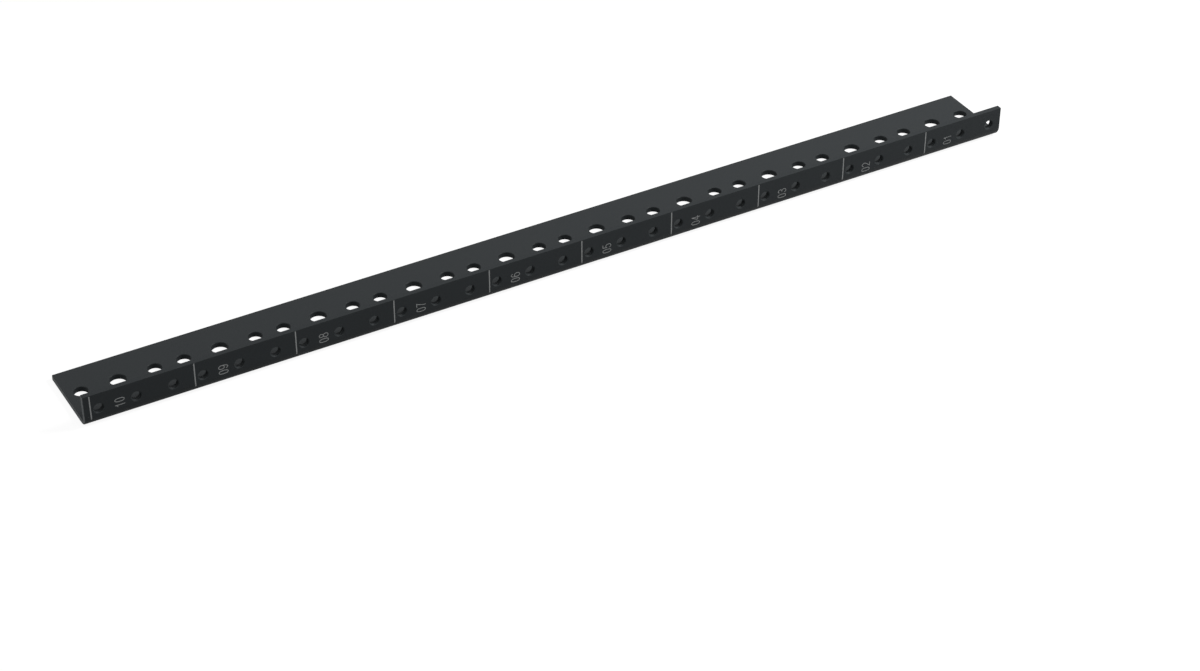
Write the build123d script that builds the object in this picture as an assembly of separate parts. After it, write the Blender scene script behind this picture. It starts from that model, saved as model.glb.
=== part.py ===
"""Rack mounting rail: one length of folded sheet steel with two rows of holes.

The wide fixing leg lies flat, and the narrow tapped leg stands up along its front edge.
X runs along the rail, Y from the front face to the back edge, and Z up.
The origin is the middle of the rail's footprint, on its underside.
"""
import os

from build123d import *

# Hole pattern of a rack: three holes in each unit, the middle one at the unit's centre
unit_length = 44.45
unit_count = 10
end_hole_offset = 6.35

# Folded section, each leg measured over the outside of the fold
sheet = 2.4
fixing_leg = 37.5
tapped_leg = 15.4
inner_bend = 2.7
free_edge_round = 0.35
sheared_end_break = 0.2

# Tapped holes for rack screws: the thread's outer diameter, and the row's height over the underside
tapped_hole = 4.83
tapped_row = 8.2

# Punched fixing holes: two sizes, the break at the upper mouth, and the row's distance from the front
small_fixing_hole = 6.1
large_fixing_hole = 7.15
punched_mouth_break = 0.2
fixing_row = 21.7

length = unit_length * unit_count
outer_bend = inner_bend + sheet
front = -fixing_leg / 2
outer_places = (end_hole_offset, unit_length - end_hole_offset)
middle_places = (unit_length / 2,)


def hole_positions(places):
    """X of every hole that lies at one of these places within its rack unit."""
    first_unit = -length / 2
    return [first_unit + unit * unit_length + place for unit in range(unit_count) for place in places]


def folded_section():
    """The L of the fold, seen from the end: square legs of one thickness round a true bend."""
    with BuildSketch(Plane.YZ.offset(-length / 2)) as section:
        with Locations((front, 0)):
            Rectangle(fixing_leg, sheet, align=(Align.MIN, Align.MIN))
            Rectangle(sheet, tapped_leg, align=(Align.MIN, Align.MIN))
        corners = section.vertices()
        heel = corners.sort_by_distance((front, 0))[0]
        inside = corners.sort_by_distance((front + sheet, sheet))[0]
        free_edges = [corner for corner in corners if corner not in (heel, inside)]
        fillet(heel, outer_bend)
        fillet(inside, inner_bend)
        fillet(free_edges, free_edge_round)
    return section.sketch


def fixing_holes(diameter, places):
    """A row of punched holes down through the fixing leg, with a short cone where the punch went in."""
    radius = diameter / 2
    bore = Cylinder(radius, sheet)
    cone = Cone(radius, radius + punched_mouth_break, punched_mouth_break)
    cutter = bore + Pos(0, 0, (sheet - punched_mouth_break) / 2) * cone
    return [Pos(x, front + fixing_row, sheet / 2) * cutter for x in hole_positions(places)]


def tapped_holes():
    """The row of holes through the standing leg, all of one size."""
    cutter = Rot(90, 0, 0) * Cylinder(tapped_hole / 2, sheet)
    places = outer_places + middle_places
    return [Pos(x, front + sheet / 2, tapped_row) * cutter for x in hole_positions(places)]


def rack_rail():
    """The folded length with its sheared ends broken, then all its holes."""
    rail = extrude(folded_section(), length)
    end_edges = rail.faces().filter_by(Axis.X).edges()
    rail = chamfer(end_edges, sheared_end_break)
    rail -= fixing_holes(small_fixing_hole, outer_places)
    rail -= fixing_holes(large_fixing_hole, middle_places)
    rail -= tapped_holes()
    return rail


os.makedirs("parts", exist_ok=True)
export_step(rack_rail(), "parts/rack_rail.step")
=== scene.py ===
"""Looks of the rack mounting rail: coating, hole threads, unit lines and numbers, and the studio.

Everything is in metres in the rail's own frame: X along the rail, Y from the front face to the back
edge, Z up, with the origin in the middle of the footprint on the underside.
"""

import math

import bmesh
import bpy
import numpy as np
from bpy.props import FloatProperty, FloatVectorProperty, IntProperty, PointerProperty
from mathutils import Matrix, Vector


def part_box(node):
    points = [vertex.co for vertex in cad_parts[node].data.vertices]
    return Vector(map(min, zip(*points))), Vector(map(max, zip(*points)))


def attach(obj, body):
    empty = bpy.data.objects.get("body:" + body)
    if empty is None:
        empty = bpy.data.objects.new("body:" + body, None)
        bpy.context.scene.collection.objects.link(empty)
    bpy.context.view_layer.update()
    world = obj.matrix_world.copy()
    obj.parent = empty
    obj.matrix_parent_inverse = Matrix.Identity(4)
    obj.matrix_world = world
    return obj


bl_info = {
    "name": "Rack mounting rail",
    "version": (1, 0, 0),
    "blender": (4, 5, 0),
    "location": "View3D > Sidebar > Rack rail",
    "description": "Coating, threads, print and studio for a folded steel rack rail",
    "category": "Object",
}

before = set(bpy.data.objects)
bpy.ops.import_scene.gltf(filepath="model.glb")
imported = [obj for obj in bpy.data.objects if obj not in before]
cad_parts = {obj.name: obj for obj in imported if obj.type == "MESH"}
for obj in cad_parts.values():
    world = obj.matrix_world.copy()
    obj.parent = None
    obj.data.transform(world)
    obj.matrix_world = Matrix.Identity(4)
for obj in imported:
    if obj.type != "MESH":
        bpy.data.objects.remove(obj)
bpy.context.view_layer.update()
RAIL = "rack_rail"
RAIL_LOW, RAIL_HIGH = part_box(RAIL)
MM = 0.001

# The hole pattern and the section, as the CAD model has them
UNIT = 44.45 * MM
UNIT_COUNT = 10
TAPPED_PLACES = (6.35 * MM, UNIT / 2, UNIT - 6.35 * MM)
TAPPED_ROW = 8.2 * MM
SHEET = 2.4 * MM
OUTER_BEND = 5.1 * MM
FREE_EDGE_ROUND = 0.35 * MM


# Settings


class RailThreadSettings(bpy.types.PropertyGroup):
    """Sizes of the screw thread in the tapped holes."""

    outer_diameter: FloatProperty(
        name="Outer diameter", description="Thread diameter at its roots, which is the hole's own wall",
        default=4.83 * MM, min=1 * MM, unit="LENGTH", precision=5)
    crest_diameter: FloatProperty(
        name="Crest diameter", description="Width left open between the thread's crests",
        default=4.1 * MM, min=1 * MM, unit="LENGTH", precision=5)
    pitch: FloatProperty(
        name="Pitch", description="Distance from one crest to the next, 32 threads to the inch",
        default=0.79375 * MM, min=0.2 * MM, unit="LENGTH", precision=5)
    steps_round: IntProperty(
        name="Steps round", description="Facets of the thread round the hole", default=40, min=12, max=96)


class RailPrintSettings(bpy.types.PropertyGroup):
    """Sizes and places of the unit lines and unit numbers on the front face."""

    ink_thickness: FloatProperty(
        name="Ink thickness", description="How far the print stands off the coating",
        default=0.012 * MM, min=0.001 * MM, unit="LENGTH", precision=6)
    line_width: FloatProperty(
        name="Line width", description="Width of the line at the start of each rack unit",
        default=0.5 * MM, min=0.1 * MM, unit="LENGTH", precision=5)
    first_line: FloatProperty(
        name="First line", description="Distance of the first unit line from the rail's left end",
        default=2.79 * MM, min=0, unit="LENGTH", precision=5)
    line_foot: FloatProperty(
        name="Line foot", description="Height of the line's lower end, on the round of the fold",
        default=3.7 * MM, min=0, unit="LENGTH", precision=5)
    number_height: FloatProperty(
        name="Number height", description="Height of a digit, measured along the rail",
        default=4.27 * MM, min=1 * MM, unit="LENGTH", precision=5)
    digit_width: FloatProperty(
        name="Digit width", description="Width of a digit, measured up the front face",
        default=2.08 * MM, min=0.5 * MM, unit="LENGTH", precision=5)
    digit_step: FloatProperty(
        name="Digit step", description="Distance from one digit's middle to the next",
        default=2.52 * MM, min=0.5 * MM, unit="LENGTH", precision=5)
    stroke: FloatProperty(
        name="Stroke", description="Width of the lines that the first number is drawn with",
        default=0.34 * MM, min=0.1 * MM, unit="LENGTH", precision=5)
    last_stroke: FloatProperty(
        name="Last stroke", description="Width of the lines that the last number is drawn with",
        default=0.28 * MM, min=0.1 * MM, unit="LENGTH", precision=5)
    number_offset: FloatProperty(
        name="Number offset", description="Distance from a unit line to the tops of its digits",
        default=10.15 * MM, min=0, unit="LENGTH", precision=5)
    number_row: FloatProperty(
        name="Number row", description="Height of the first number's middle on the front face",
        default=7.92 * MM, min=0, unit="LENGTH", precision=5)
    number_drift: FloatProperty(
        name="Number drift", description="How much lower each number is printed than the one before",
        default=0.15 * MM, unit="LENGTH", precision=6)
    last_lift: FloatProperty(
        name="Last number's lift", description="How much higher the last number is printed than its row",
        default=0.75 * MM, unit="LENGTH", precision=6)


class RailFinishSettings(bpy.types.PropertyGroup):
    """Colours and grain of the coating and the ink, and the colour of the painted light on the sheared ends
    and threads.
    """

    coating: FloatVectorProperty(
        name="Coating", description="Colour of the black coating", subtype="COLOR",
        default=(0.0220, 0.0255, 0.0275), size=3, min=0, max=1)
    # The lighter tone of the coating's random mottle; the threads also take it as the base of their painted
    # light.
    coating_light_tone: FloatVectorProperty(
        name="Coating, light", description="Colour of the coating where it is thinnest", subtype="COLOR",
        default=(0.0262, 0.0304, 0.0328), size=3, min=0, max=1)
    # A lighter colour for painted light: it lightens the sheared ends, standing in for light from the left,
    # and the thread's marks, standing in for light on the thread's flanks.
    painted_light_colour: FloatVectorProperty(
        name="Sheared end", description="Colour of the thin coating on the sheared ends", subtype="COLOR",
        default=(0.118, 0.128, 0.131), size=3, min=0, max=1)
    roughness: FloatProperty(
        name="Roughness", description="Roughness of the satin coating",
        default=0.46, min=0, max=1, subtype="FACTOR")
    gloss: FloatProperty(
        name="Gloss", description="Strength of the coating's reflections",
        default=0.12, min=0, max=1, subtype="FACTOR")
    grain_size: FloatProperty(
        name="Grain size", description="Size of the coating's fine dimples",
        default=0.45 * MM, min=0.05 * MM, unit="LENGTH", precision=5)
    grain_depth: FloatProperty(
        name="Grain depth", description="Depth of the coating's fine dimples",
        default=0.011 * MM, min=0, unit="LENGTH", precision=6)
    ink: FloatVectorProperty(
        name="Ink", description="Colour of the printed lines and numbers", subtype="COLOR",
        default=(0.37, 0.38, 0.38), size=3, min=0, max=1)


class RailStageSettings(bpy.types.PropertyGroup):
    """Floor, lamps and camera."""

    floor_size: FloatProperty(
        name="Floor size", description="Width of the floor", default=8.0, min=1, unit="LENGTH")
    floor_colour: FloatVectorProperty(
        name="Floor", description="Colour of the floor as it lights the rail", subtype="COLOR",
        default=(0.34, 0.34, 0.34), size=3, min=0, max=1)
    surround: FloatProperty(
        name="Surround", description="Strength of the soft light from all sides", default=0.23, min=0, max=1)
    key_power: FloatProperty(
        name="Key lamp", description="Power of the lamp over the rail's right end, a little in front of it",
        default=7.1, min=0, unit="POWER")
    azimuth: FloatProperty(
        name="Azimuth", description="Direction of the camera round the rail",
        default=math.radians(-29.679), subtype="ANGLE")
    elevation: FloatProperty(
        name="Elevation", description="Height of the camera over the floor, as an angle",
        default=math.radians(35.966), subtype="ANGLE")
    roll: FloatProperty(
        name="Roll", description="Turn of the camera about its own line of sight",
        default=math.radians(0.1), subtype="ANGLE")
    target: FloatVectorProperty(
        name="Target", description="Point on the floor in the middle of the picture",
        default=(-0.01398, -0.06388, 0), size=3, subtype="TRANSLATION", unit="LENGTH", precision=5)
    distance: FloatProperty(
        name="Distance", description="Distance of the camera from that point",
        default=1.15622, min=0.1, unit="LENGTH", precision=5)
    lens: FloatProperty(
        name="Lens", description="Focal length in millimetres on a sensor 36 mm wide", default=83.738, min=10)


# Shader maths


class Value:
    """A shader socket that takes part in sums: each operator adds a Math node and gives its output."""

    def __init__(self, shader, socket):
        self.shader, self.socket = shader, socket

    def _math(self, operation, *terms):
        return self.shader.node("ShaderNodeMath", {"operation": operation}, dict(enumerate(terms))).out(0)

    def __add__(self, other):
        return self._math("ADD", self, other)

    def __sub__(self, other):
        return self._math("SUBTRACT", self, other)

    def __rsub__(self, other):
        return self._math("SUBTRACT", other, self)

    def __mul__(self, other):
        return self._math("MULTIPLY", self, other)

    def __lt__(self, other):
        return self._math("LESS_THAN", self, other)

    def __gt__(self, other):
        return self._math("GREATER_THAN", self, other)

    def __abs__(self):
        return self._math("ABSOLUTE", self)

    def larger(self, other):
        """The larger of two values."""
        return self._math("MAXIMUM", self, other)

    __radd__ = __add__
    __rmul__ = __mul__


class Node:
    """A node whose outputs are read as Values."""

    def __init__(self, shader, node):
        self.shader, self.node = shader, node

    def out(self, name):
        return Value(self.shader, self.node.outputs[name])


class Shader:
    """Builds one node tree from nothing. Every node comes from node()."""

    def __init__(self, owner):
        owner.use_nodes = True
        self.tree = owner.node_tree
        self.tree.nodes.clear()

    def node(self, kind, settings=None, inputs=None):
        """Adds a node of this type, sets its settings, then gives its sockets their values or links."""
        made = self.tree.nodes.new(kind)
        for name, setting in (settings or {}).items():
            setattr(made, name, setting)
        for name, given in (inputs or {}).items():
            if isinstance(given, Value):
                self.tree.links.new(given.socket, made.inputs[name])
            else:
                made.inputs[name].default_value = given
        return Node(self, made)

    def place_mm(self):
        """Object coordinates in millimetres."""
        place = self.node("ShaderNodeTexCoord").out("Object")
        return self.node(
            "ShaderNodeVectorMath", {"operation": "SCALE"}, {0: place, "Scale": 1 / MM}).out(0)

    def stretched(self, vector, scale):
        """A vector with each axis scaled by its own amount."""
        return self.node("ShaderNodeVectorMath", {"operation": "MULTIPLY"}, {0: vector, 1: scale}).out(0)

    def split(self, vector):
        """The X, Y and Z of a vector."""
        parts = self.node("ShaderNodeSeparateXYZ", None, {0: vector})
        return parts.out("X"), parts.out("Y"), parts.out("Z")

    def noise(self, vector, size, detail=2.0):
        """Noise from 0 to 1 whose lumps are about this size, in the vector's own unit."""
        return self.node(
            "ShaderNodeTexNoise", None,
            {"Vector": vector, "Scale": 1 / size, "Detail": detail, "Roughness": 0.55}).out(0)

    def blend(self, share, colour, other):
        """A colour between two, by share."""
        return self.node(
            "ShaderNodeMix", {"data_type": "RGBA"},
            {"Factor": share, 6: colour, 7: other}).out(2)

    def bump(self, height, depth):
        """The surface normal, tipped by a height from 0 to 1 that stands for this depth in metres."""
        return self.node(
            "ShaderNodeBump", None, {"Strength": 1.0, "Distance": depth, "Height": height}).out("Normal")

    def surface(self, inputs):
        """A Principled surface on the material's output."""
        self.output(self.node("ShaderNodeBsdfPrincipled", None, inputs).out("BSDF"))

    def output(self, shading, kind="ShaderNodeOutputMaterial"):
        self.node(kind, None, {"Surface": shading})

    def seen_directly(self):
        """1 where a ray comes from the camera, a reflection or a clear surface, and else 0."""
        path = self.node("ShaderNodeLightPath")
        seen = path.out("Is Camera Ray").larger(path.out("Is Glossy Ray"))
        return seen.larger(path.out("Is Transmission Ray"))


def rgba(colour):
    """A colour with full alpha, as a shader socket takes it."""
    return (*colour, 1.0)


def coating_material(finish):
    """Satin black coating over folded steel.

    Fine dimples cover it, a slow mottle changes its shade and gloss, and surfaces where the sheet was
    cut or punched carry fine marks across the sheet's thickness. A surface counts as cut where its
    normal lies in the plane of its own leg. The two sheared ends are painted lighter, up to a frayed
    edge: painted light that stands in for the light falling on them from the left. Sizes here are in
    millimetres.
    """
    mark_width, mark_stretch = 0.16, 0.08
    mottle_size, mottle_stretch = 14.0, 0.5
    mottle_share = 0.7
    end_fray = 0.2
    least_painted_light, painted_light_by_dimples = 0.6, 0.6
    lies_in_leg = 0.4
    cut_smoothed, speck_height, mark_height = 0.6, 0.18, 0.9
    rough_by_mottle, rough_by_dimples, rough_where_cut = 0.10, 0.08, 0.07
    material = bpy.data.materials.new("black_satin_coating")
    shader = Shader(material)
    place = shader.place_mm()
    x, y, z = shader.split(place)
    normal = shader.node("ShaderNodeTexCoord").out("Normal")
    _, facing_y, facing_z = shader.split(normal)

    bend = OUTER_BEND / MM
    in_tapped_leg = z > bend
    in_fixing_leg = y > RAIL_LOW.y / MM + bend
    cut_tapped = in_tapped_leg * (abs(facing_y) < lies_in_leg)
    cut_fixing = in_fixing_leg * (abs(facing_z) < lies_in_leg)
    cut = cut_tapped + cut_fixing
    marks_tapped = shader.noise(shader.stretched(place, (1, mark_stretch, 1)), mark_width, 1.0)
    marks_fixing = shader.noise(shader.stretched(place, (1, 1, mark_stretch)), mark_width, 1.0)
    marks = marks_tapped * in_tapped_leg + marks_fixing * in_fixing_leg

    dimples = shader.noise(place, finish.grain_size / MM, 3.0)
    specks = shader.noise(place, finish.grain_size / MM / 4, 1.0)
    # Painted light: the sheared ends take the lighter painted light colour, up to a frayed edge, in place of
    # the light that falls on them from the left.
    at_end = abs(x) + dimples * end_fray > RAIL_HIGH.x / MM
    painted_end_share = at_end * (least_painted_light + dimples * painted_light_by_dimples)
    mottle = shader.noise(shader.stretched(place, (mottle_stretch, 1, 1)), mottle_size, 2.0)
    shade = mottle * mottle_share + dimples * (1 - mottle_share)
    height = dimples * (1 - cut * cut_smoothed) + specks * speck_height + marks * cut * mark_height
    roughness = (finish.roughness + (mottle - 0.5) * rough_by_mottle
                 + (dimples - 0.5) * rough_by_dimples + cut * rough_where_cut)
    coat = shader.blend(shade, rgba(finish.coating), rgba(finish.coating_light_tone))
    shader.surface({
        "Base Color": shader.blend(painted_end_share, coat, rgba(finish.painted_light_colour)),
        "Roughness": roughness,
        "Specular IOR Level": finish.gloss,
        "Normal": shader.bump(height, finish.grain_depth),
    })
    return material


def thread_material(finish):
    """The same coating on the cut thread, smoother, with fine marks along the cut, and lighter: painted light
    on its flanks.
    """
    smoother, uneven, duller = 0.04, 0.16, 0.6
    mark_size, mark_squeeze = 0.3, 4
    painted_light_share = 0.22
    material = bpy.data.materials.new("coated_thread")
    shader = Shader(material)
    place = shader.place_mm()
    cut_marks = shader.noise(shader.stretched(place, (1, mark_squeeze, 1)), mark_size, 2.0)
    # Painted light: the lighter coating tone, lifted towards the painted light colour along the marks, in
    # place of light on the thread's flanks.
    coat = shader.blend(cut_marks * painted_light_share, rgba(finish.coating_light_tone), rgba(finish.painted_light_colour))
    shader.surface({
        "Base Color": coat,
        "Roughness": finish.roughness - smoother + (cut_marks - 0.5) * uneven,
        "Specular IOR Level": finish.gloss * duller,
        "Normal": shader.bump(cut_marks, finish.grain_depth),
    })
    return material


def ink_material(finish):
    """Matt pale screen ink, a little uneven over the coating's dimples, and thinner towards the right end."""
    patch_size = 1.5
    dimple_share = 0.6
    thinnest = 0.7
    fade_along_rail = 0.5
    roughness, uneven, gloss = 0.55, 0.16, 0.3
    dimples_left = 0.8
    material = bpy.data.materials.new("printed_ink")
    shader = Shader(material)
    place = shader.place_mm()
    dimples = shader.noise(place, finish.grain_size / MM, 3.0)
    patches = shader.noise(place, patch_size, 2.0)
    x, _, _ = shader.split(place)
    along = (x - RAIL_LOW.x / MM) * (MM / (RAIL_HIGH.x - RAIL_LOW.x))
    cover = dimples * dimple_share + patches * (1 - dimple_share) - along * fade_along_rail
    thin = tuple(thinnest * channel for channel in finish.ink)
    shader.surface({
        "Base Color": shader.blend(cover, rgba(thin), rgba(finish.ink)),
        "Roughness": roughness + (dimples - 0.5) * uneven,
        "Specular IOR Level": gloss,
        "Normal": shader.bump(dimples, finish.grain_depth * dimples_left),
    })
    return material


def floor_material(stage):
    """A white floor: plain paint to the light that it throws on the rail, and white as seen.

    As seen, it is a steady white plus a weak share that the lamps light, so the rail's shadow stays.
    As reflected, it is mostly lit paint, so that the rail's foot reflects its own shadow.
    """
    seen_white, seen_paint = 0.91, 0.16
    reflected_white, reflected_paint = 0.1, 0.6
    material = bpy.data.materials.new("white_floor")
    shader = Shader(material)
    path = shader.node("ShaderNodeLightPath")
    seen = path.out("Is Camera Ray").larger(path.out("Is Transmission Ray"))
    reflected = path.out("Is Glossy Ray")
    unseen = shader.blend(reflected, rgba(stage.floor_colour), rgba((reflected_paint,) * 3))
    paint = shader.node(
        "ShaderNodeBsdfDiffuse", None,
        {"Color": shader.blend(seen, unseen, rgba((seen_paint,) * 3))}).out(0)
    steady = shader.node(
        "ShaderNodeEmission", None,
        {"Color": (1, 1, 1, 1), "Strength": seen * seen_white + reflected * reflected_white}).out(0)
    shader.output(shader.node("ShaderNodeAddShader", None, {0: paint, 1: steady}).out(0))
    return material


# Meshes


def swept(sections, closed=False):
    """A solid from closed sections that follow each other along a path.

    sections has the shape (steps, corners, 3). Each side face joins corners k and k+1 of two sections
    that follow each other; the first and last section close the ends, unless the path itself is closed.
    """
    steps, corners = sections.shape[:2]
    step, corner = np.meshgrid(
        np.arange(steps if closed else steps - 1), np.arange(corners), indexing="ij")
    after, beside = (step + 1) % steps, (corner + 1) % corners
    sides = np.stack([
        step * corners + corner, step * corners + beside,
        after * corners + beside, after * corners + corner], axis=-1).reshape(-1, 4)
    faces = sides.tolist()
    if not closed:
        last = (steps - 1) * corners
        faces.append(list(range(corners)))
        faces.append([last + k for k in range(corners)])
    return sections.reshape(-1, 3), faces


def add_piece(name, solids, material, merge=0.0):
    """One object from several closed solids, at the origin, riding on the rail, with its faces outwards."""
    if not solids:
        raise RuntimeError(f"{name} has nothing to build")
    vertices, faces, count = [], [], 0
    for points, sides in solids:
        vertices.append(points)
        faces += [[corner + count for corner in side] for side in sides]
        count += len(points)
    mesh = bpy.data.meshes.new(name)
    mesh.from_pydata(np.concatenate(vertices).tolist(), [], faces)
    shape = bmesh.new()
    shape.from_mesh(mesh)
    if merge:
        bmesh.ops.remove_doubles(shape, verts=shape.verts, dist=merge)
    bmesh.ops.recalc_face_normals(shape, faces=shape.faces)
    shape.to_mesh(mesh)
    shape.free()
    mesh.validate()
    piece = bpy.data.objects.new(name, mesh)
    bpy.context.scene.collection.objects.link(piece)
    piece.data.materials.append(material)
    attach(piece, "root")
    return piece


def material_named(name, make, settings):
    """The material of this name, made on first use."""
    return bpy.data.materials.get(name) or make(settings)


def thread_sleeve(centre_x, thread):
    """The thread of one tapped hole, as a closed sleeve whose inner side carries the ridges.

    With a the angle round the hole and d the depth from the front face, a ridge line lies at
    d = pitch * (a / full turn + turn) + its own offset. The radius on it is the crest's or the root's,
    and never less than a cone at 45 degrees that opens to the front face; the back mouth keeps nearly
    full ridges. The roots and the sleeve's outer side lie inside the metal, so only ridges show.
    """
    buried = 0.03 * MM
    inset = 0.01 * MM
    back_lead = 0.3 * MM
    flank_angle = math.radians(30)
    root = thread.outer_diameter / 2 + buried
    crest = thread.crest_diameter / 2
    flank = (root - crest) * math.tan(flank_angle)
    crest_flat = thread.pitch / 4
    offsets = np.array([0, flank / 2, flank, flank + crest_flat, 1.5 * flank + crest_flat,
                        2 * flank + crest_flat])
    radii = np.array([root, (root + crest) / 2, crest, crest, (root + crest) / 2, root])

    turns = np.arange(-2, math.ceil(SHEET / thread.pitch) + 1)
    angles = np.linspace(0, 2 * math.pi, thread.steps_round + 1)
    lines = (turns[:, None] * thread.pitch + offsets[None, :]).ravel()
    depth = lines[None, :] + thread.pitch * angles[:, None] / (2 * math.pi)
    depth = np.clip(depth, inset, SHEET - inset)
    radius = np.broadcast_to(np.tile(radii, len(turns)), depth.shape)
    from_face = np.minimum(depth, SHEET - depth + back_lead)
    radius = np.maximum(radius, root - from_face)

    outer = np.full((len(angles), 1), root + buried)
    radius = np.concatenate([outer, radius, outer], axis=1)
    ends = np.full((len(angles), 1), inset)
    depth = np.concatenate([ends, depth, SHEET - ends], axis=1)
    turn = np.broadcast_to(angles[:, None], depth.shape)
    sections = np.stack([
        centre_x + radius * np.cos(turn),
        RAIL_LOW.y + depth,
        TAPPED_ROW + radius * np.sin(turn)], axis=-1)
    points, faces = swept(sections)
    return points, faces[:-2]


def ribbon(path, width, low, high, lift, closed=False):
    """A flat ribbon along a path in the plane, as a thin closed solid.

    Its sides lie half the width to each side of the path, square to it. lift turns points of the
    plane and a height into points on the rail.
    """
    if closed:
        ahead = np.roll(path, -1, axis=0) - np.roll(path, 1, axis=0)
    else:
        ahead = np.gradient(path, axis=0)
    ahead = ahead / np.linalg.norm(ahead, axis=1, keepdims=True)
    aside = np.stack([-ahead[:, 1], ahead[:, 0]], axis=1) * width / 2
    sections = np.stack([
        lift(path - aside, low), lift(path + aside, low),
        lift(path + aside, high), lift(path - aside, high)], axis=1)
    return swept(sections, closed)


def line(*corners, steps=6):
    """Points along straight runs from corner to corner."""
    return np.concatenate([
        np.linspace(start, end, steps) for start, end in zip(corners[:-1], corners[1:])])


def arc(centre, radii, start, end, steps=20):
    """Points of an ellipse: centre + (rx cos t, ry sin t), with t from start to end in degrees."""
    t = np.radians(np.linspace(start, end, steps))
    return np.stack([centre[0] + radii[0] * np.cos(t), centre[1] + radii[1] * np.sin(t)], axis=1)


def ring(centre, radii, squareness=2.0, steps=48):
    """Points of a closed oval: |x/rx| and |y/ry| to the power of the squareness add up to 1."""
    t = np.linspace(0, 2 * math.pi, steps, endpoint=False)
    power = 2 / squareness
    return np.stack([
        centre[0] + radii[0] * np.sign(np.cos(t)) * np.abs(np.cos(t)) ** power,
        centre[1] + radii[1] * np.sign(np.sin(t)) * np.abs(np.sin(t)) ** power], axis=1)


def curve(start, pull, end, steps=16):
    """Points of a quadratic curve: (1-t)^2 start + 2t(1-t) pull + t^2 end."""
    t = np.linspace(0, 1, steps)[:, None]
    return (1 - t) ** 2 * np.array(start) + 2 * t * (1 - t) * np.array(pull) + t ** 2 * np.array(end)


def chain(*parts):
    """Parts of a path joined end to end, without the doubled points."""
    same_point = 1e-6
    path = np.concatenate(parts)
    moved = np.linalg.norm(np.diff(path, axis=0), axis=1) > same_point
    return path[np.concatenate([[True], moved])]


def on_front_face(foot, start):
    """Lays a digit's plane on the front face, turned so that it reads up the face.

    The digit's height runs towards the rail's left end from X = foot, its width runs up from
    Z = start, and heights off the plane run out of the face.
    """
    def lift(points, height):
        return np.stack([
            foot - points[:, 1], np.full(len(points), RAIL_LOW.y - height),
            start + points[:, 0]], axis=1)
    return lift


def digit_strokes(digit, over):
    """Centrelines of a digit in a unit box, each with whether it is closed.

    over is how far half a stroke reaches past the box, as shares of its width and height.
    """
    out_x, out_y = over
    six_bowl = ring((0.5, 0.31), (0.5, 0.31), 2.2)
    six_back = chain(
        arc((0.5, 0.76), (0.44, 0.24), 12, 90), arc((0.5, 0.42), (0.5, 0.58), 90, 180),
        line((0, 0.42), (0, 0.31)))
    strokes = {
        0: [(ring((0.5, 0.5), (0.45, 0.5), 2.5), True)],
        1: [(line((0.57, -out_y), (0.57, 1 + out_y)), False),
            (curve((0.57, 0.97), (0.44, 0.80), (0.12, 0.73)), False)],
        2: [(chain(arc((0.5, 0.73), (0.5, 0.27), 170, -10),
                   curve((0.992, 0.683), (0.94, 0.48), (0.5, 0.28)),
                   curve((0.5, 0.28), (0.1, 0.10), (0.06, 0.0))), False),
            (line((-out_x * 0.6, 0), (1 + out_x * 0.6, 0)), False)],
        3: [(arc((0.48, 0.76), (0.44, 0.24), 165, -90), False),
            (arc((0.48, 0.265), (0.52, 0.265), 90, -165), False),
            (line((0.28, 0.525), (0.5, 0.525)), False)],
        4: [(line((0.72, 1), (0.02, 0.30)), False),
            (line((-out_x * 0.8, 0.27), (1 + out_x, 0.27)), False),
            (line((0.74, 1 + out_y), (0.74, -out_y)), False)],
        5: [(line((0.16 - out_x * 0.5, 1), (0.96, 1)), False),
            (line((0.17, 1 + out_y * 0.9), (0.07, 0.47)), False),
            (arc((0.5, 0.325), (0.5, 0.325), 152, -162), False)],
        6: [(six_bowl, True), (six_back, False)],
        7: [(line((-out_x * 0.6, 1), (1 + out_x * 0.6, 1)), False),
            (curve((0.96, 1), (0.42, 0.60), (0.32, -out_y)), False)],
        8: [(ring((0.5, 0.765), (0.44, 0.235), 2.1), True),
            (ring((0.5, 0.275), (0.5, 0.275), 2.1), True)],
        9: [(1 - six_bowl, True), (1 - six_back, False)],
    }
    return strokes[digit]


# Operators


class RAIL_OT_coat_steel(bpy.types.Operator):
    """Give the folded rail its black coating"""

    bl_idname = "rail.coat_steel"
    bl_label = "Coat the steel"

    def execute(self, context):
        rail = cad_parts[RAIL]
        finish = context.scene.rail_finish
        if not rail.material_slots:
            raise RuntimeError("the packed rail has no material slot")
        for material_slot in rail.material_slots:
            material_slot.link = "OBJECT"
            material_slot.material = material_named("black_satin_coating", coating_material, finish)
        return {"FINISHED"}


class RAIL_OT_cut_threads(bpy.types.Operator):
    """Cut a screw thread in every tapped hole of the standing leg"""

    bl_idname = "rail.cut_threads"
    bl_label = "Cut the threads"

    def execute(self, context):
        thread = context.scene.rail_thread
        same_point = 1e-7
        sleeves = [
            thread_sleeve(RAIL_LOW.x + unit * UNIT + place, thread)
            for unit in range(UNIT_COUNT) for place in TAPPED_PLACES]
        piece = add_piece(
            "hole_threads", sleeves,
            material_named("coated_thread", thread_material, context.scene.rail_finish), same_point)
        piece.data.shade_smooth()
        return {"FINISHED"}


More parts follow.
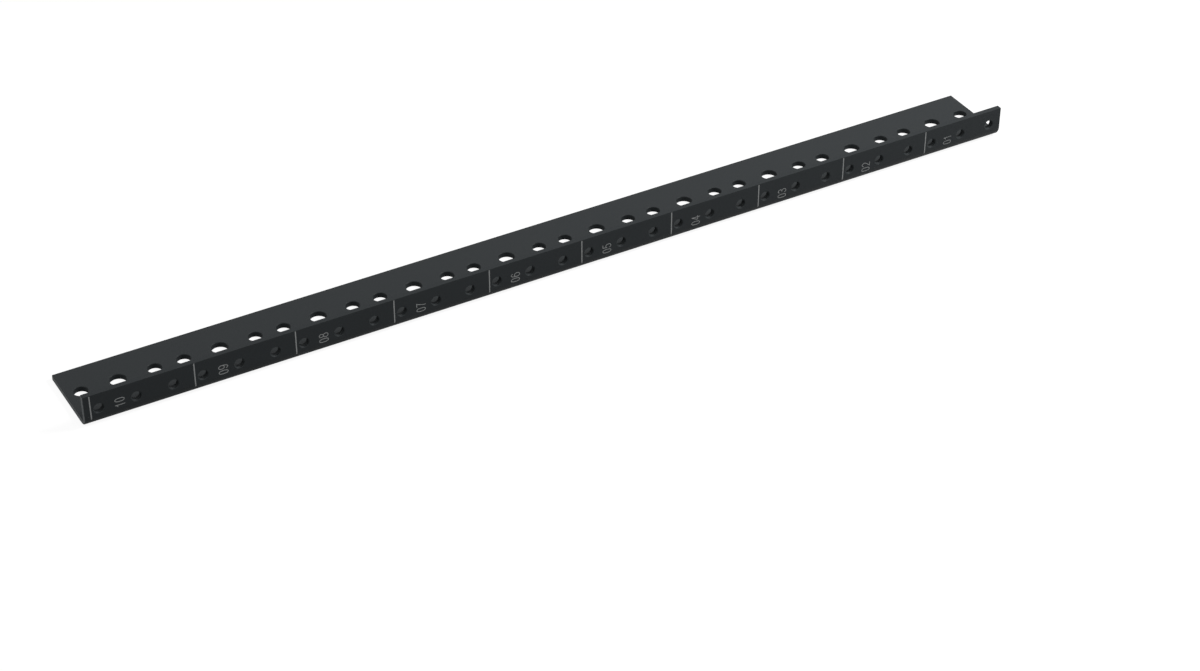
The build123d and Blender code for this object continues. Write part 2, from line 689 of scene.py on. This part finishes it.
class RAIL_OT_print_lines(bpy.types.Operator):
    """Print the line at the start of each rack unit, down the front face and onto the fold"""

    bl_idname = "rail.print_lines"
    bl_label = "Print the unit lines"

    def execute(self, context):
        """Each line follows the section: round the fold with Y = R - R cos a and Z = R - R sin a
        behind the front face, straight up it, and over the start of the free edge's round."""
        layout = context.scene.rail_print
        over_edge = math.radians(55)
        fold_points, edge_points = 9, 6
        foot_angle = math.asin((OUTER_BEND - layout.line_foot) / OUTER_BEND)
        down = np.linspace(foot_angle, 0, fold_points)
        over = np.linspace(0, over_edge, edge_points)
        top = RAIL_HIGH.z - FREE_EDGE_ROUND
        y = np.concatenate([OUTER_BEND * (1 - np.cos(down)), FREE_EDGE_ROUND * (1 - np.cos(over))])
        z = np.concatenate([OUTER_BEND * (1 - np.sin(down)), top + FREE_EDGE_ROUND * np.sin(over)])
        normal_y = -np.cos(np.concatenate([down, over]))
        normal_z = np.concatenate([-np.sin(down), np.sin(over)])
        half = layout.line_width / 2
        lines = []
        for unit in range(UNIT_COUNT):
            x = RAIL_LOW.x + layout.first_line + unit * UNIT
            corners = [(x - half, -1), (x + half, -1), (x + half, 1), (x - half, 1)]
            lines.append(swept(np.stack([
                np.stack([np.full_like(y, across),
                          RAIL_LOW.y + y + normal_y * side * layout.ink_thickness,
                          z + normal_z * side * layout.ink_thickness], axis=1)
                for across, side in corners], axis=1)))
        add_piece("unit_lines", lines,
                  material_named("printed_ink", ink_material, context.scene.rail_finish))
        return {"FINISHED"}


class RAIL_OT_print_numbers(bpy.types.Operator):
    """Print the unit numbers, which read up the front face and count down to the right"""

    bl_idname = "rail.print_numbers"
    bl_label = "Print the unit numbers"

    def execute(self, context):
        layout = context.scene.rail_print
        layer_rise = 0.15
        strokes = []
        for unit in range(UNIT_COUNT):
            along = unit / (UNIT_COUNT - 1)
            stroke = layout.stroke + (layout.last_stroke - layout.stroke) * along
            box = np.array([layout.digit_width - stroke, layout.number_height - stroke])
            over = stroke / 2 / box
            top = RAIL_LOW.x + layout.first_line + unit * UNIT + layout.number_offset
            foot = top + layout.number_height - stroke / 2
            middle = layout.number_row - unit * layout.number_drift
            if unit == UNIT_COUNT - 1:
                middle += layout.last_lift
            for place, digit in enumerate(divmod(UNIT_COUNT - unit, 10)):
                start = middle + (place - 0.5) * layout.digit_step - box[0] / 2
                lift = on_front_face(foot, start)
                for layer, (path, closed) in enumerate(digit_strokes(digit, over)):
                    proud = layout.ink_thickness * (1 + layer_rise * layer)
                    strokes.append(ribbon(
                        path * box, stroke, -layout.ink_thickness, proud, lift, closed))
        add_piece("unit_numbers", strokes,
                  material_named("printed_ink", ink_material, context.scene.rail_finish))
        return {"FINISHED"}


# Each lamp's place, the point that it faces, its width and its share of the key lamp's power
LAMPS = {
    "key_lamp": ((0.62, -0.3, 0.7), (0.12, 0, 0), 0.22, 1.0),
    "front_lamp": ((0.1, -0.6, 0.85), (0, 0, 0), 0.3, 0.14),
    "end_lamp": ((-1.1, -0.1, 0.5), (-0.2, 0, 0), 0.3, 0.3),
}


class RAIL_OT_set_stage(bpy.types.Operator):
    """Set the floor, the surrounding light, the lamps and the camera"""

    bl_idname = "rail.set_stage"
    bl_label = "Set the stage"

    def execute(self, context):
        stage = context.scene.rail_stage
        self.floor(stage)
        self.surround(context.scene, stage)
        for name, (place, target, size, share) in LAMPS.items():
            self.lamp(name, place, target, size, stage.key_power * share)
        self.camera(context.scene, stage)
        context.scene.view_settings.view_transform = "Standard"
        return {"FINISHED"}

    def floor(self, stage):
        """A square grid just under the rail, so that it doesn't share a plane with it."""
        rows = 9
        drop = 0.05 * MM
        side = np.linspace(-stage.floor_size / 2, stage.floor_size / 2, rows)
        x, y = np.meshgrid(side, side, indexing="ij")
        points = np.stack([x, y, np.full_like(x, -drop)], axis=-1).reshape(-1, 3)
        row, column = np.meshgrid(np.arange(rows - 1), np.arange(rows - 1), indexing="ij")
        corner = (row * rows + column).ravel()
        faces = np.stack([corner, corner + rows, corner + rows + 1, corner + 1], axis=1)
        mesh = bpy.data.meshes.new("floor")
        mesh.from_pydata(points.tolist(), [], faces.tolist())
        floor = bpy.data.objects.new("floor", mesh)
        bpy.context.scene.collection.objects.link(floor)
        floor.data.materials.append(floor_material(stage))

    def surround(self, scene, stage):
        """Soft light from all sides, and a white surround where it is seen or reflected."""
        scene.world = scene.world or bpy.data.worlds.new("studio")
        shader = Shader(scene.world)
        strength = shader.seen_directly() * (1 - stage.surround) + stage.surround
        sky = shader.node("ShaderNodeBackground", None, {"Color": (1, 1, 1, 1), "Strength": strength})
        shader.output(sky.out(0), "ShaderNodeOutputWorld")

    def lamp(self, name, place, target, size, power):
        """A square soft lamp that faces its target."""
        light = bpy.data.lights.new(name, "AREA")
        light.shape, light.size, light.energy = "SQUARE", size, power
        lamp = bpy.data.objects.new(name, light)
        bpy.context.scene.collection.objects.link(lamp)
        lamp.location = place
        lamp.rotation_mode = "QUATERNION"
        lamp.rotation_quaternion = (Vector(target) - Vector(place)).to_track_quat("-Z", "Y")

    def camera(self, scene, stage):
        """The camera's backward axis b points from the target to the camera; its level right axis is
        up x b; both it and its up axis are then turned about b by the roll."""
        azimuth, elevation, roll = stage.azimuth, stage.elevation, stage.roll
        back = Vector((
            math.sin(azimuth) * math.cos(elevation),
            -math.cos(azimuth) * math.cos(elevation),
            math.sin(elevation)))
        level = Vector((0, 0, 1)).cross(back).normalized()
        upright = back.cross(level)
        right = level * math.cos(roll) + upright * math.sin(roll)
        up = upright * math.cos(roll) - level * math.sin(roll)
        lens = bpy.data.cameras.new("camera")
        lens.lens, lens.sensor_width, lens.sensor_fit = stage.lens, 36, "HORIZONTAL"
        lens.clip_start, lens.clip_end = 0.01, 50
        camera = bpy.data.objects.new("camera", lens)
        scene.collection.objects.link(camera)
        turn = Matrix((right, up, back)).transposed().to_4x4()
        camera.matrix_world = Matrix.Translation(Vector(stage.target) + back * stage.distance) @ turn
        scene.camera = camera


class RAIL_PT_panel(bpy.types.Panel):
    """Settings and steps of the rack rail"""

    bl_idname = "RAIL_PT_panel"
    bl_label = "Rack rail"
    bl_space_type = "VIEW_3D"
    bl_region_type = "UI"
    bl_category = "Rack rail"

    def draw(self, context):
        for title, settings, steps in SECTIONS:
            box = self.layout.box()
            box.label(text=title)
            group = getattr(context.scene, settings)
            for name in group.__annotations__:
                box.prop(group, name)
            for step in steps:
                box.operator(step.bl_idname)


SECTIONS = (
    ("Finish", "rail_finish", (RAIL_OT_coat_steel,)),
    ("Threads", "rail_thread", (RAIL_OT_cut_threads,)),
    ("Print", "rail_print", (RAIL_OT_print_lines, RAIL_OT_print_numbers)),
    ("Stage", "rail_stage", (RAIL_OT_set_stage,)),
)
SETTINGS = {
    "rail_finish": RailFinishSettings,
    "rail_thread": RailThreadSettings,
    "rail_print": RailPrintSettings,
    "rail_stage": RailStageSettings,
}
STEPS = tuple(step for _, _, steps in SECTIONS for step in steps)


def register():
    for cls in (*SETTINGS.values(), *STEPS, RAIL_PT_panel):
        bpy.utils.register_class(cls)
    for name, group in SETTINGS.items():
        setattr(bpy.types.Scene, name, PointerProperty(type=group))


def unregister():
    for name in SETTINGS:
        delattr(bpy.types.Scene, name)
    for cls in (RAIL_PT_panel, *reversed(STEPS), *reversed(list(SETTINGS.values()))):
        bpy.utils.unregister_class(cls)


def main():
    """Builds everything in order."""
    register()
    bpy.ops.rail.coat_steel()
    bpy.ops.rail.cut_threads()
    bpy.ops.rail.print_lines()
    bpy.ops.rail.print_numbers()
    bpy.ops.rail.set_stage()


if __name__ == "__main__":
    main()
